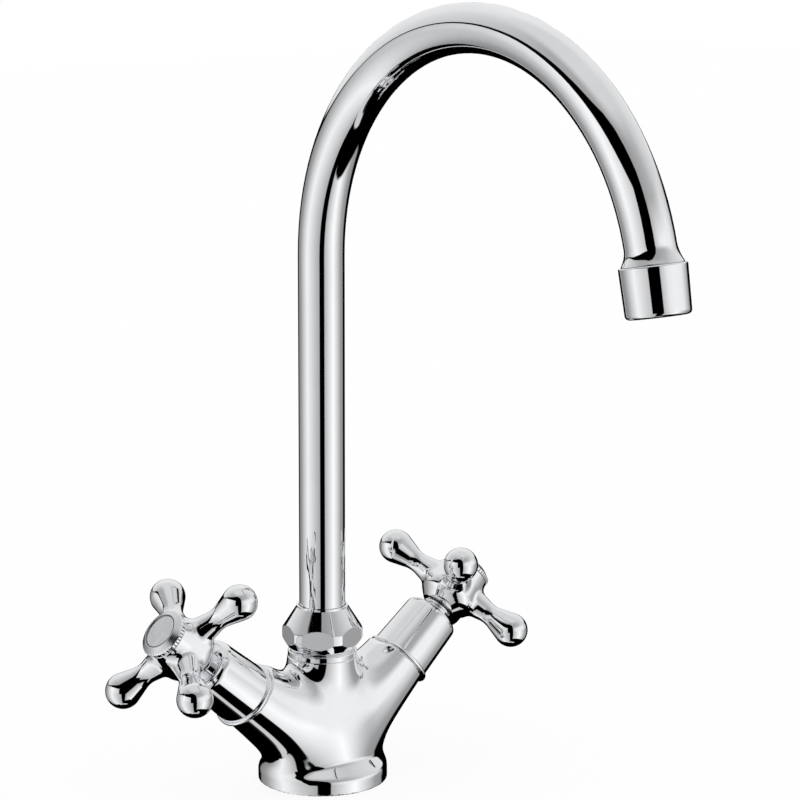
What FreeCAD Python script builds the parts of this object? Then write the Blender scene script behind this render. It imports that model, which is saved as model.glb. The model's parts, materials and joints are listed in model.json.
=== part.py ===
# Kitchen mixer tap: a single-hole body with a swivelling swan-neck spout and two cross-handled,
# quarter-turn ceramic valves on arms that rise to each side.
# Millimetres, +Z up, origin in the middle of the foot's underside. The spout points to -Y,
# the hot valve is on the -X arm and the cold valve on the +X arm.
import FreeCAD, Part
import math
import os
import re
import Sketcher

SIZES = {
    # Foot and body casting
    "foot_diameter": 51.0,
    "foot_band_height": 5.0,
    "foot_edge_round": 0.7,
    "foot_shoulder_round": 3.0,
    "foot_flare_height": 6.6,
    "waist_step": 3.0,
    "waist_round": 6.0,
    "belly_step": 4.3,
    "belly_axis_height": 23.0,
    "shoulder_height": 21.0,
    "shoulder_round": 4.0,
    "neck_shoulder": 2.7,
    "neck_height": 50.2,
    "neck_edge_round": 0.5,
    "stub_step": 2.0,
    "stub_height": 9.6,
    "socket_step": 0.5,
    "socket_floor": 30.0,
    "arm_angle": 40.0,
    "arm_axis_height": 8.6,
    "arm_length": 49.3,
    "arm_taper": 1.8,
    "arm_wall": 2.2,
    "neck_blend_round": 8.0,
    "foot_blend_round": 3.0,
    # Waterways and fixing holes in the casting
    "valve_bore_diameter": 19.8,
    "valve_seat_distance": 27.0,
    "seal_recess_step": 0.8,
    "seal_recess_depth": 1.6,
    "seat_passage_diameter": 8.0,
    "seat_passage_start": 12.0,
    "inlet_diameter": 9.0,
    "inlet_depth": 12.0,
    "inlet_drill_diameter": 7.0,
    "stud_hole_diameter": 6.8,
    "stud_hole_depth": 14.0,
    "stud_hole_offset": 11.5,
    "crossway_diameter": 6.0,
    "crossway_height": 34.5,
    "crossway_half_length": 18.0,
    "gasket_margin": 3.5,
    "gasket_width": 3.0,
    "gasket_thickness": 2.0,
    # Spout nut, collar ring and slip ring
    "collar_width": 2.6,
    "collar_height": 2.2,
    "collar_edge_round": 0.6,
    "nut_height": 18.1,
    "nut_foot_wall": 1.5,
    "nut_foot_cone_height": 5.0,
    "nut_belt_wall": 4.8,
    "nut_belt_height": 3.6,
    "nut_belt_round": 1.6,
    "nut_top_wall": 1.2,
    "nut_rim_height": 0.7,
    "nut_flat_wall": 3.5,
    "nut_turn_angle": 45.0,
    "slip_ring_height": 1.5,
    # Spout
    "tube_diameter": 18.0,
    "tube_wall": 1.0,
    "tube_straight_top": 209.0,
    "bend_radius": 90.5,
    "bend_sweep": 169.0,
    "tail_flange_gap": 0.4,
    "tail_flange_height": 2.6,
    "tail_socket_depth": 2.0,
    "tail_wall": 2.5,
    "tail_length": 19.9,
    "tail_ring_lift": 4.0,
    "tail_ring_pitch": 6.0,
    "tail_groove_width": 2.0,
    "tail_groove_depth": 1.4,
    # Outlet adaptor and aerator
    "adaptor_lap": 2.0,
    "adaptor_mouth_wall": 0.3,
    "adaptor_flare_wall": 2.0,
    "adaptor_flare_height": 2.5,
    "adaptor_edge_round": 0.5,
    "adaptor_thread_wall": 1.2,
    "adaptor_thread_length": 7.0,
    "adaptor_bore_step": 1.5,
    "aerator_wall": 1.6,
    "aerator_taper": 0.5,
    "aerator_height": 17.4,
    "aerator_top_round": 0.6,
    "aerator_foot_round": 1.6,
    "aerator_lip_width": 1.5,
    "aerator_lip_height": 1.4,
    "washer_height": 1.6,
    "washer_width": 3.3,
    "mesh_thickness": 0.8,
    "mesh_hole_diameter": 1.5,
    "mesh_ring_pitch": 2.4,
    "flow_hole_diameter": 2.4,
    "flow_ring_diameter": 13.0,
    # Valve cover and headwork
    "bead_step": 0.6,
    "bead_height": 2.0,
    "bead_round": 0.9,
    "cover_step": 0.5,
    "cover_taper": 1.1,
    "cover_height": 25.2,
    "cover_shoulder_round": 2.6,
    "cover_wall": 1.2,
    "cover_roof": 1.6,
    "sleeve_wall": 1.1,
    "sleeve_height": 3.0,
    "sleeve_rim_step": 0.7,
    "sleeve_rim_height": 1.1,
    "sleeve_rim_round": 0.4,
    "cage_gap": 1.6,
    "cage_wall": 1.1,
    "cage_thread_lift": 2.6,
    "window_width": 6.0,
    "window_height": 3.0,
    "flange_height": 2.2,
    "hex_gap": 0.1,
    "hex_height": 6.5,
    "gland_diameter": 14.0,
    "nose_wall": 0.9,
    "seat_seal_height": 2.4,
    "seat_seal_bore_diameter": 9.0,
    "disc_height": 3.0,
    "disc_port_diameter": 4.0,
    "disc_port_offset": 4.2,
    # Spindle, clip and screw
    "spindle_diameter": 7.0,
    "driver_diameter": 9.4,
    "driver_height": 3.2,
    "tongue_width": 2.4,
    "tongue_length": 8.0,
    "tongue_height": 1.5,
    "spindle_ring_lift": 12.0,
    "spindle_ring_pitch": 5.0,
    "spindle_groove_width": 1.6,
    "spindle_groove_depth": 1.1,
    "spline_depth": 0.5,
    "clip_height": 0.8,
    "clip_diameter": 10.0,
    "clip_groove_depth": 0.6,
    "clip_mouth_width": 3.4,
    "screw_diameter": 4.0,
    "screw_length": 14.0,
    "screw_head_diameter": 7.4,
    "screw_head_height": 2.4,
    "screw_slot_width": 1.0,
    "screw_slot_depth": 1.1,
    # Cross handle and index cap
    "handle_gap": 0.6,
    "hub_height": 19.6,
    "hub_foot_diameter": 15.0,
    "hub_recess_diameter": 11.6,
    "hub_recess_depth": 2.4,
    "hub_bell_diameter": 25.4,
    "hub_bell_round": 6.0,
    "hub_waist_diameter": 21.0,
    "hub_waist_round": 10.0,
    "hub_top_diameter": 19.4,
    "hub_edge_round": 0.6,
    "hub_counterbore_diameter": 9.0,
    "hub_counterbore_depth": 5.2,
    "hub_web": 2.4,
    "ball_circle_diameter": 58.0,
    "ball_diameter": 13.8,
    "limb_root_diameter": 13.0,
    "limb_root_offset": 6.4,
    "limb_neck_diameter": 7.8,
    "limb_neck_offset": 18.5,
    "limb_neck_round": 9.0,
    "limb_blend_round": 4.0,
    "hot_handle_angle": 55.0,
    "cold_handle_angle": 44.0,
    "cap_rim_diameter": 19.6,
    "cap_rim_height": 1.4,
    "cap_cone_height": 1.7,
    "cap_face_diameter": 14.6,
    "cap_face_recess": 0.35,
    "cap_face_border": 0.7,
    "cap_stem_height": 2.2,
    "cap_tooth_depth": 0.35,
    "cap_tooth_width": 0.55,
    # Clearances shared by the fits
    "running_fit": 0.05,
    "thread_fit": 0.05,
    "turn_gap": 0.1,
    "throat_gap": 0.3,
    "overrun": 1.0,
}
HEX_SIDES = 6
HANDLE_LIMBS = 4
CAP_TEETH = 48
SPLINE_TEETH = 20
MESH_RINGS = 3
FLOW_HOLES = 10
DISC_PORTS = 2
PARALLEL_SHARE = 0.001
ARM_ROOT_SHARE = 0.55
ARM_MIDDLE_SHARE = 0.775
BELL_SHARE = 0.27
CROSS_SHARE = 0.52
WAIST_SHARE = 0.72
SIDES = {"hot": -1, "cold": 1}

# Diameters of the foot's gasket
GASKET_OUTER = "(foot_diameter - 2 * gasket_margin)"
GASKET_INNER = f"({GASKET_OUTER} - 2 * gasket_width)"

# Diameters that follow the spout tube: neck, belly, nut and tail
SOCKET = "(tube_diameter + 2 * socket_step)"
STUB = "(tube_diameter + 2 * stub_step)"
NECK = f"({STUB} + 2 * neck_shoulder)"
BELLY = f"({NECK} + 2 * belly_step)"
WAIST = f"({BELLY} + 2 * waist_step)"
COLLAR = f"({STUB} + 2 * collar_width)"
NUT_FOOT = f"({STUB} + 2 * nut_foot_wall)"
NUT_BELT = f"({STUB} + 2 * nut_belt_wall)"
NUT_FLATS = f"({STUB} + 2 * nut_flat_wall)"
NUT_RIM = "(tube_diameter + 2 * nut_top_wall)"
TAIL_FLANGE = f"({STUB} - 2 * tail_flange_gap)"
TAIL_BORE = f"({SOCKET} - 2 * tail_wall)"

# Diameters that follow the spout tube: adaptor and aerator
ADAPTOR_MOUTH = "(tube_diameter + 2 * adaptor_mouth_wall)"
ADAPTOR_FLARE = "(tube_diameter + 2 * adaptor_flare_wall)"
ADAPTOR_THREAD = "(tube_diameter + 2 * adaptor_thread_wall)"
ADAPTOR_BORE = "(tube_diameter - 2 * adaptor_bore_step)"
AERATOR = f"({ADAPTOR_THREAD} + 2 * aerator_wall)"
AERATOR_FOOT = f"({AERATOR} - 2 * aerator_taper)"
AERATOR_LIP = f"({ADAPTOR_THREAD} - 2 * aerator_lip_width)"
WASHER_BORE = f"({ADAPTOR_THREAD} - 2 * washer_width)"

# Diameters that follow the valve bore: arm, cover and headwork
SEAL_RECESS = "(valve_bore_diameter + 2 * seal_recess_step)"
ARM_END = f"({SEAL_RECESS} + 2 * arm_wall)"
ARM_MIDDLE = f"({ARM_END} + arm_taper)"
ARM_ROOT = f"({ARM_END} + 2 * arm_taper)"
BEAD = f"({ARM_END} + 2 * bead_step)"
COVER_FOOT = f"({ARM_END} - 2 * cover_step)"
COVER_RIM = f"({COVER_FOOT} - 2 * cover_taper)"
HEX_FLATS = f"(({COVER_RIM} - 2 * cover_wall - 2 * hex_gap) * cos({180 / HEX_SIDES}))"
CAGE = "(valve_bore_diameter - 2 * cage_gap)"
CAGE_BORE = f"({CAGE} - 2 * cage_wall)"

# Diameters that follow the spindle: headwork's nose and its locking sleeve
NOSE = "(spindle_diameter + 2 * nose_wall)"
SLEEVE = f"({NOSE} + 2 * sleeve_wall)"
SLEEVE_RIM = f"({SLEEVE} + 2 * sleeve_rim_step)"

# Heights above the deck
STUB_TOP = "(neck_height + stub_height)"
FLANGE_FOOT = f"({STUB_TOP} + turn_gap)"
FLANGE_TOP = f"({FLANGE_FOOT} + tail_flange_height)"
TAIL_FOOT = f"({FLANGE_FOOT} - tail_length)"
SLIP_FOOT = f"({FLANGE_TOP} + turn_gap)"
SLIP_TOP = f"({SLIP_FOOT} + slip_ring_height)"
COLLAR_TOP = "(neck_height + collar_height)"
NUT_TOP = f"({COLLAR_TOP} + nut_height)"
TUBE_FOOT = f"({FLANGE_TOP} - tail_socket_depth)"

# Distances along a valve's axis, from the point where the two arms' axes meet
SEAL_TOP = "(valve_seat_distance + seat_seal_height)"
FIXED_TOP = f"({SEAL_TOP} + disc_height)"
MOVING_TOP = f"({FIXED_TOP} + disc_height)"
DRIVER_TOP = f"({MOVING_TOP} + driver_height)"
CAGE_THREAD = f"({MOVING_TOP} + cage_thread_lift)"
COVER_TOP = "(arm_length + cover_height)"
ROOF_FOOT = f"({COVER_TOP} - cover_roof)"
SLEEVE_TOP = f"({COVER_TOP} + sleeve_height)"
CLIP_FOOT = f"({SLEEVE_TOP} + turn_gap)"
CLIP_TOP = f"({CLIP_FOOT} + clip_height)"
HUB_FOOT = f"({SLEEVE_TOP} + handle_gap)"
HUB_TOP = f"({HUB_FOOT} + hub_height)"
SCREW_SEAT = f"({HUB_TOP} - hub_counterbore_depth)"
SPINDLE_TOP = f"({SCREW_SEAT} - hub_web - turn_gap)"
CROSS_LEVEL = f"({HUB_FOOT} + {CROSS_SHARE} * hub_height)"
CAP_TOP = f"({HUB_TOP} + cap_rim_height + cap_cone_height)"

# Distances along the outlet's axis, from the end of the spout tube
FLARE_FOOT = "(adaptor_flare_height - adaptor_lap)"
THREAD_END = f"({FLARE_FOOT} + adaptor_thread_length)"
AERATOR_END = f"({FLARE_FOOT} + aerator_height)"
WASHER_END = f"({THREAD_END} + washer_height)"
MESH_FOOT = f"({AERATOR_END} - aerator_lip_height - mesh_thickness)"

document = FreeCAD.newDocument("kitchen_mixer_tap")
sheet = document.addObject("Spreadsheet::Sheet", "sizes")
for row, (alias, number) in enumerate(SIZES.items(), 1):
    sheet.set(f"A{row}", alias)
    sheet.set(f"B{row}", str(number))
    sheet.setAlias(f"B{row}", alias)
document.recompute()
pieces = []


def bound(text):
    """The expression with each alias written as a cell of the sheet."""
    return re.sub(r"[a-z][a-z_]*", lambda word: f"sizes.{word[0]}" if word[0] in SIZES else word[0], text)


def value(text):
    """The number that an expression over the sheet gives now."""
    return float(sheet.evalExpression(bound(text)))


def half(text):
    return f"({text} / 2)"


def new_body(label):
    body = document.addObject("PartDesign::Body", label)
    body.Label = label
    pieces.append(body)
    return body


def set_placement(item, path, base, axis, angle):
    """Moves and turns an item by expressions: base is three of them, angle is in degrees."""
    place = FreeCAD.Vector(*(value(text) for text in base))
    setattr(item, path, FreeCAD.Placement(place, FreeCAD.Rotation(FreeCAD.Vector(*axis), value(angle))))
    for name, text in zip("xyz", base):
        if text != "0":
            item.setExpression(f"{path}.Base.{name}", bound(text))
    if angle != "0":
        item.setExpression(f"{path}.Rotation.Angle", bound(angle))


def stand_on_arm(body, side):
    """Puts a body's +Z along the outward axis of the arm on that side."""
    set_placement(body, "Placement", ("0", "0", "arm_axis_height"), (0, side, 0), "90 - arm_angle")


def stand_on_outlet(body):
    """Puts a body's origin at the end of the spout tube, with +Z the way the water leaves."""
    reach = "bend_radius * (cos(bend_sweep) - 1)"
    level = "tube_straight_top + bend_radius * sin(bend_sweep)"
    set_placement(body, "Placement", ("0", reach, level), (1, 0, 0), "bend_sweep")


def origin_item(body, role):
    return next(item for item in body.Origin.OriginFeatures if item.Role == role)


def new_sketch(body, name, role, base=("0", "0", "0"), axis=(0, 0, 1), angle="0"):
    sketch = body.newObject("Sketcher::SketchObject", f"{body.Label}_{name}_sketch")
    sketch.AttachmentSupport = [(origin_item(body, role), "")]
    sketch.MapMode = "FlatFace"
    set_placement(sketch, "AttachmentOffset", base, axis, angle)
    return sketch


def constrain(sketch, text, kind, *where):
    """Adds a sketch dimension bound to an expression."""
    index = sketch.addConstraint(Sketcher.Constraint(kind, *where, value(text)))
    if text != "0":
        sketch.setExpression(f"Constraints[{index}]", bound(text))


def pin(sketch, item, point, across, up):
    constrain(sketch, across, "DistanceX", -1, 1, item, point)
    constrain(sketch, up, "DistanceY", -1, 1, item, point)


def draw_circle(sketch, diameter, across="0", up="0"):
    centre = FreeCAD.Vector(value(across), value(up), 0)
    item = sketch.addGeometry(Part.Circle(centre, FreeCAD.Vector(0, 0, 1), value(half(diameter))))
    pin(sketch, item, 3, across, up)
    constrain(sketch, half(diameter), "Radius", item)


def corner_arc(before, corner, after, radius):
    """The arc that rounds a corner, with its two ends in path order and whether it runs backwards."""
    one = (before - corner).normalize()
    two = (after - corner).normalize()
    half_angle = one.getAngle(two) / 2
    first = corner + one * (radius / math.tan(half_angle))
    last = corner + two * (radius / math.tan(half_angle))
    centre = corner + (one + two).normalize() * (radius / math.sin(half_angle))
    backwards = one.cross(two).z > 0
    start, end = (last, first) if backwards else (first, last)
    circle = Part.Circle(centre, FreeCAD.Vector(0, 0, 1), radius)
    return Part.ArcOfCircle(circle, circle.parameter(start), circle.parameter(end)), first, last, backwards


def draw_outline(sketch, corners):
    """Draws a closed outline through corners (across, up) or (across, up, rounding), all expressions."""
    points = [FreeCAD.Vector(value(corner[0]), value(corner[1]), 0) for corner in corners]
    count = len(points)
    arcs = {}
    for index, corner in enumerate(corners):
        if len(corner) > 2:
            near = points[index - 1], points[index], points[(index + 1) % count]
            arcs[index] = corner_arc(*near, value(corner[2]))
    leave = [arcs[index][2] if index in arcs else point for index, point in enumerate(points)]
    reach = [arcs[index][1] if index in arcs else point for index, point in enumerate(points)]
    lines = [Part.LineSegment(leave[index], reach[(index + 1) % count]) for index in range(count)]
    first = sketch.addGeometry(lines)[0]
    for index, corner in enumerate(corners):
        arriving = first + (index - 1) % count
        leaving = first + index
        if index not in arcs:
            sketch.addConstraint(Sketcher.Constraint("Coincident", arriving, 2, leaving, 1))
            pin(sketch, leaving, 1, corner[0], corner[1])
            continue
        arc, _, _, backwards = arcs[index]
        item = sketch.addGeometry(arc)
        mark = sketch.addGeometry(Part.Point(points[index]), True)
        pin(sketch, mark, 1, corner[0], corner[1])
        sketch.addConstraint(Sketcher.Constraint("PointOnObject", mark, 1, arriving))
        sketch.addConstraint(Sketcher.Constraint("PointOnObject", mark, 1, leaving))
        sketch.addConstraint(Sketcher.Constraint("Tangent", arriving, 2, item, 2 if backwards else 1))
        sketch.addConstraint(Sketcher.Constraint("Tangent", leaving, 1, item, 1 if backwards else 2))
        constrain(sketch, corner[2], "Radius", item)


def settle(feature, cuts=False):
    """Recomputes a new feature and stops if it failed, or if a cut took nothing away."""
    document.recompute()
    if "Invalid" in feature.State or feature.Shape.isNull():
        raise RuntimeError(f"{feature.Name} failed")
    if cuts and feature.Shape.Volume >= feature.BaseFeature.Shape.Volume:
        raise RuntimeError(f"{feature.Name} cut nothing")
    return feature


def turn_profile(body, name, corners, cuts=False, place=None):
    """Revolves an outline of (radius, height) corners about the sketch's vertical axis."""
    sketch = new_sketch(body, name, "XZ_Plane", **(place or {}))
    draw_outline(sketch, corners)
    kind = "PartDesign::Groove" if cuts else "PartDesign::Revolution"
    feature = body.newObject(kind, f"{body.Label}_{name}")
    feature.Profile = sketch
    feature.ReferenceAxis = (sketch, ["V_Axis"])
    feature.Angle = 360
    return settle(feature, cuts)


def extrude(body, name, draw, level, length, cuts=False, angle="0"):
    """Pads a level sketch upwards, or pockets it downwards, by length."""
    sketch = new_sketch(body, name, "XY_Plane", ("0", "0", level), angle=angle)
    draw(sketch)
    feature = body.newObject("PartDesign::Pocket" if cuts else "PartDesign::Pad", f"{body.Label}_{name}")
    feature.Profile = sketch
    feature.Length = value(length)
    feature.setExpression("Length", bound(length))
    return settle(feature, cuts)


def repeat(body, name, feature, count):
    """Repeats a feature round the body's vertical axis."""
    pattern = body.newObject("PartDesign::PolarPattern", f"{body.Label}_{name}")
    pattern.Originals = [feature]
    pattern.Axis = (origin_item(body, "Z_Axis"), [""])
    pattern.Angle = 360
    pattern.Occurrences = count
    body.Tip = pattern
    return settle(pattern)


def mirror(body, name, features):
    """Repeats features on the other side of the middle plane."""
    copy = body.newObject("PartDesign::Mirrored", f"{body.Label}_{name}")
    copy.Originals = features
    copy.MirrorPlane = (origin_item(body, "YZ_Plane"), [""])
    body.Tip = copy
    return settle(copy)


def round_edges(body, name, base, edges, radius):
    feature = body.newObject("PartDesign::Fillet", f"{body.Label}_{name}")
    feature.Base = (base, edges)
    feature.Radius = value(radius)
    feature.setExpression("Radius", bound(radius))
    return settle(feature)


def ring(body, name, inner, outer, low, high, cuts=False):
    """A turned ring of plain rectangular section."""
    corners = [(half(inner), low), (half(outer), low), (half(outer), high), (half(inner), high)]
    return turn_profile(body, name, corners, cuts)


def plug(body, name, diameter, low, high, cuts=False, place=None):
    """A turned solid cylinder."""
    corners = [("0", low), (half(diameter), low), (half(diameter), high), ("0", high)]
    return turn_profile(body, name, corners, cuts, place)


def o_rings(label, inner, outer, levels):
    """A group of equal O-rings, each a torus squeezed between two diameters."""
    rings = []
    for number, level in enumerate(levels, 1):
        torus = document.addObject("Part::Torus", f"{label}_{number}")
        torus.setExpression("Radius1", bound(f"({inner} + {outer}) / 4"))
        torus.setExpression("Radius2", bound(f"({outer} - {inner}) / 4"))
        torus.setExpression("Placement.Base.z", bound(level))
        rings.append(torus)
    group = document.addObject("Part::Compound", label)
    group.Label = label
    group.Links = rings
    pieces.append(group)
    return group


def hexagon(across_flats):
    """The corners of a hexagon, with two flats square to the first axis."""
    half_turn = 180 / HEX_SIDES
    reach = f"({across_flats} / 2 / cos({half_turn}))"
    turns = [half_turn * (2 * number + 1) for number in range(HEX_SIDES)]
    return [(f"{reach} * cos({turn})", f"{reach} * sin({turn})") for turn in turns]


def joining_edges(shape):
    """The heights of the edges where a turned face meets a lofted one, or one turned about another axis."""
    found = {}
    for number, edge in enumerate(shape.Edges, 1):
        surfaces = [face.Surface for face in shape.ancestorsOfType(edge, Part.Face)]
        axes = [surface.Axis for surface in surfaces if hasattr(surface, "Axis")]
        if len(surfaces) < 2 or not axes or any(isinstance(surface, Part.Plane) for surface in surfaces):
            continue
        if len(axes) < len(surfaces) or axes[0].cross(axes[1]).Length > PARALLEL_SHARE:
            found[f"Edge{number}"] = edge.CenterOfMass.z
    return found


def arm_section(body, name, side, distance, diameter):
    """A round section square to an arm's axis, at a distance along it."""
    base = (f"{side} * {distance} * cos(arm_angle)", "0", f"arm_axis_height + {distance} * sin(arm_angle)")
    sketch = new_sketch(body, name, "XY_Plane", base, (0, 1, 0), f"90 - {side} * arm_angle")
    draw_circle(sketch, diameter)
    return sketch


def join_arms(body):
    """One smooth form from the end of one arm, through the belly, to the end of the other."""
    stations = {
        "end": ("arm_length", ARM_END),
        "middle": (f"{ARM_MIDDLE_SHARE} * arm_length", ARM_MIDDLE),
        "root": (f"{ARM_ROOT_SHARE} * arm_length", ARM_ROOT),
    }
    hot, cold = (
        [arm_section(body, f"{valve}_arm_{name}", side, *station) for name, station in stations.items()]
        for valve, side in SIDES.items()
    )
    belly = new_sketch(body, "belly", "XY_Plane", ("0", "0", "belly_axis_height"), (0, 1, 0), "90")
    draw_circle(belly, BELLY)
    arms = body.newObject("PartDesign::AdditiveLoft", f"{body.Label}_arms")
    arms.Profile = hot[0]
    arms.Sections = [*hot[1:], belly, *reversed(cold)]
    return settle(arms)


def make_body():
    """The one-piece casting: foot, neck with its threaded stub, the arms and belly, and the waterways."""
    body = new_body("tap_body")
    waist_top = "(foot_band_height + foot_flare_height)"
    turn_profile(body, "core", [
        ("0", "0"),
        (half("foot_diameter"), "0", "foot_edge_round"),
        (half("foot_diameter"), "foot_band_height", "foot_shoulder_round"),
        (half(WAIST), waist_top, "waist_round"),
        (half(NECK), "shoulder_height", "shoulder_round"),
        (half(NECK), "neck_height", "neck_edge_round"),
        (half(STUB), "neck_height"),
        (half(STUB), STUB_TOP),
        ("0", STUB_TOP),
    ])
    arms = join_arms(body)
    middle = value("belly_axis_height")
    upper = [name for name, height in joining_edges(arms.Shape).items() if height > middle]
    neck = round_edges(body, "neck_blend", arms, upper, "neck_blend_round")
    lower = [name for name, height in joining_edges(neck.Shape).items() if height < middle]
    round_edges(body, "foot_blend", neck, lower, "foot_blend_round")

    along_arm = {"base": ("0", "arm_axis_height", "0"), "axis": (0, 0, -1), "angle": "90 - arm_angle"}
    plug(body, "socket", SOCKET, "socket_floor", f"{STUB_TOP} + overrun", cuts=True)
    bore = turn_profile(body, "valve_bore", [
        ("0", "seat_passage_start"),
        (half("seat_passage_diameter"), "seat_passage_start"),
        (half("seat_passage_diameter"), "valve_seat_distance"),
        (half("valve_bore_diameter"), "valve_seat_distance"),
        (half("valve_bore_diameter"), "arm_length - seal_recess_depth"),
        (half(SEAL_RECESS), "arm_length - seal_recess_depth"),
        (half(SEAL_RECESS), "arm_length + overrun"),
        ("0", "arm_length + overrun"),
    ], cuts=True, place=along_arm)
    mirror(body, "valve_bores", [bore])
    inlet_place = "seat_passage_start * cos(arm_angle)"
    drill_top = "(arm_axis_height + seat_passage_start * sin(arm_angle))"
    thread = extrude(body, "inlet", lambda sketch: draw_circle(sketch, "inlet_diameter", inlet_place),
                     "inlet_depth", "inlet_depth + overrun", cuts=True)
    mirror(body, "inlets", [thread])
    drill = extrude(body, "drill", lambda sketch: draw_circle(sketch, "inlet_drill_diameter", inlet_place),
                    drill_top, drill_top, cuts=True)
    mirror(body, "drills", [drill])
    extrude(body, "stud_hole",
            lambda sketch: draw_circle(sketch, "stud_hole_diameter", "0", "stud_hole_offset"),
            "stud_hole_depth", "stud_hole_depth + overrun", cuts=True)
    across = {"base": ("0", "crossway_height", "0"), "axis": (0, 0, -1), "angle": "90"}
    plug(body, "crossway", "crossway_diameter", "-crossway_half_length", "crossway_half_length",
         cuts=True, place=across)
    ring(body, "gasket_groove", GASKET_INNER, GASKET_OUTER,
         "0", "gasket_thickness", cuts=True)


def make_foot_gasket():
    body = new_body("foot_gasket")
    inner = f"({GASKET_INNER} + 2 * running_fit)"
    outer = f"({GASKET_OUTER} - 2 * running_fit)"
    ring(body, "seal", inner, outer, "0", "gasket_thickness")


def make_collar_ring():
    body = new_body("collar_ring")
    bore = half(f"({STUB} + 2 * thread_fit)")
    turn_profile(body, "collar", [
        (bore, "neck_height"),
        (half(COLLAR), "neck_height"),
        (half(COLLAR), COLLAR_TOP, "collar_edge_round"),
        (bore, COLLAR_TOP),
    ])


def make_spout_nut():
    """A double-cone nut with six wrench flats, threaded on the stub, whose roof holds the spout down."""
    body = new_body("spout_nut")
    thread = half(f"({STUB} + 2 * thread_fit)")
    throat = half("(tube_diameter + 2 * throat_gap)")
    belt_foot = f"({COLLAR_TOP} + nut_foot_cone_height)"
    belt_top = f"({belt_foot} + nut_belt_height)"
    turn_profile(body, "blank", [
        (thread, COLLAR_TOP),
        (half(NUT_FOOT), COLLAR_TOP),
        (half(NUT_BELT), belt_foot, "nut_belt_round"),
        (half(NUT_BELT), belt_top, "nut_belt_round"),
        (half(NUT_RIM), f"{NUT_TOP} - nut_rim_height"),
        (half(NUT_RIM), NUT_TOP),
        (throat, NUT_TOP),
        (throat, SLIP_TOP),
        (thread, SLIP_TOP),
    ])

    def draw_flats(sketch):
        draw_circle(sketch, f"(2 * {NUT_FLATS})")
        draw_outline(sketch, hexagon(NUT_FLATS))

    extrude(body, "flats", draw_flats, NUT_TOP, "nut_height", cuts=True, angle="nut_turn_angle")


def make_slip_ring():
    body = new_body("slip_ring")
    inner = "(tube_diameter + 2 * running_fit)"
    outer = f"({STUB} - 2 * turn_gap)"
    ring(body, "ring", inner, outer, SLIP_FOOT, SLIP_TOP)


def make_spout():
    """The swan-neck tube, its turned tail with two O-rings, and the flared adaptor at its outlet."""
    tube = new_body("spout_tube")
    bore = "(tube_diameter - 2 * tube_wall)"

    def draw_section(sketch, up="0"):
        draw_circle(sketch, "tube_diameter", "0", up)
        draw_circle(sketch, bore, "0", up)

    extrude(tube, "riser", draw_section, TUBE_FOOT, f"tube_straight_top - {TUBE_FOOT}")
    sketch = new_sketch(tube, "bend", "XY_Plane", ("0", "-bend_radius", "tube_straight_top"))
    draw_section(sketch, "bend_radius")
    bend = tube.newObject("PartDesign::Revolution", "spout_tube_bend")
    bend.Profile = sketch
    bend.ReferenceAxis = (sketch, ["H_Axis"])
    bend.setExpression("Angle", bound("bend_sweep"))
    settle(bend)

    tail = new_body("spout_tail")
    spigot = half(f"({SOCKET} - 2 * running_fit)")
    tail_bore = half(TAIL_BORE)
    seat = half("(tube_diameter + 2 * thread_fit)")
    levels = [f"({TAIL_FOOT} + tail_ring_lift)", f"({TAIL_FOOT} + tail_ring_lift + tail_ring_pitch)"]
    turn_profile(tail, "spigot", [
        (tail_bore, TAIL_FOOT),
        (spigot, TAIL_FOOT),
        (spigot, FLANGE_FOOT),
        (half(TAIL_FLANGE), FLANGE_FOOT),
        (half(TAIL_FLANGE), FLANGE_TOP),
        (seat, FLANGE_TOP),
        (seat, TUBE_FOOT),
        (tail_bore, TUBE_FOOT),
    ])
    groove_diameter = f"({SOCKET} - 2 * tail_groove_depth)"
    for number, level in enumerate(levels, 1):
        ring(tail, f"groove_{number}", groove_diameter, f"({SOCKET} + overrun)",
             f"{level} - tail_groove_width / 2", f"{level} + tail_groove_width / 2", cuts=True)
    o_rings("spout_o_rings", f"({groove_diameter} + 2 * running_fit)",
            f"({SOCKET} - 2 * running_fit)", levels)

    adaptor = new_body("outlet_adaptor")
    stand_on_outlet(adaptor)
    turn_profile(adaptor, "flare", [
        (seat, "-adaptor_lap"),
        (half(ADAPTOR_MOUTH), "-adaptor_lap"),
        (half(ADAPTOR_FLARE), FLARE_FOOT, "adaptor_edge_round"),
        (half(ADAPTOR_THREAD), FLARE_FOOT),
        (half(ADAPTOR_THREAD), THREAD_END),
        (half(ADAPTOR_BORE), THREAD_END),
        (half(ADAPTOR_BORE), "0"),
        (seat, "0"),
    ])


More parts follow.
